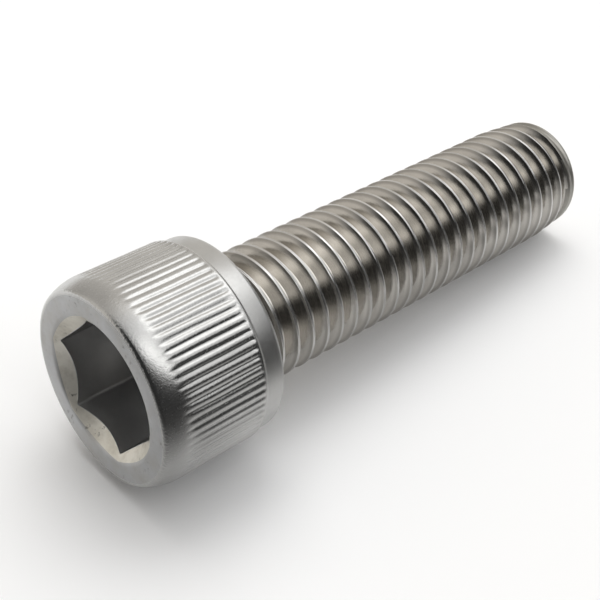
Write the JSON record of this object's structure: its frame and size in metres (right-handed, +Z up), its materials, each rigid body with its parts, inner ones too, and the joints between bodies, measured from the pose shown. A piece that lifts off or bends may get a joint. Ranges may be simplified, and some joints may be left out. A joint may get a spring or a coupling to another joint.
{
  "type": "socket head cap screw",
  "caption": "Stainless cap screw with a knurled cylindrical head, a hexagon socket and a coarse thread rolled up to the head.",
  "frame": {"origin": "on the ground, under the middle of the screw as it lies on its side", "axes": "+X runs along the screw from the head to the tip, which lies 4.44 degrees lower, and +Z is up"},
  "size_m": [0.0648, 0.021, 0.0217],
  "materials": {
    "steel": "bright stainless steel, tumbled on the face and satin on the rolled thread"
  },
  "bodies": {
    "root": {"cap_screw": "steel"}
  },
  "joints": []
}
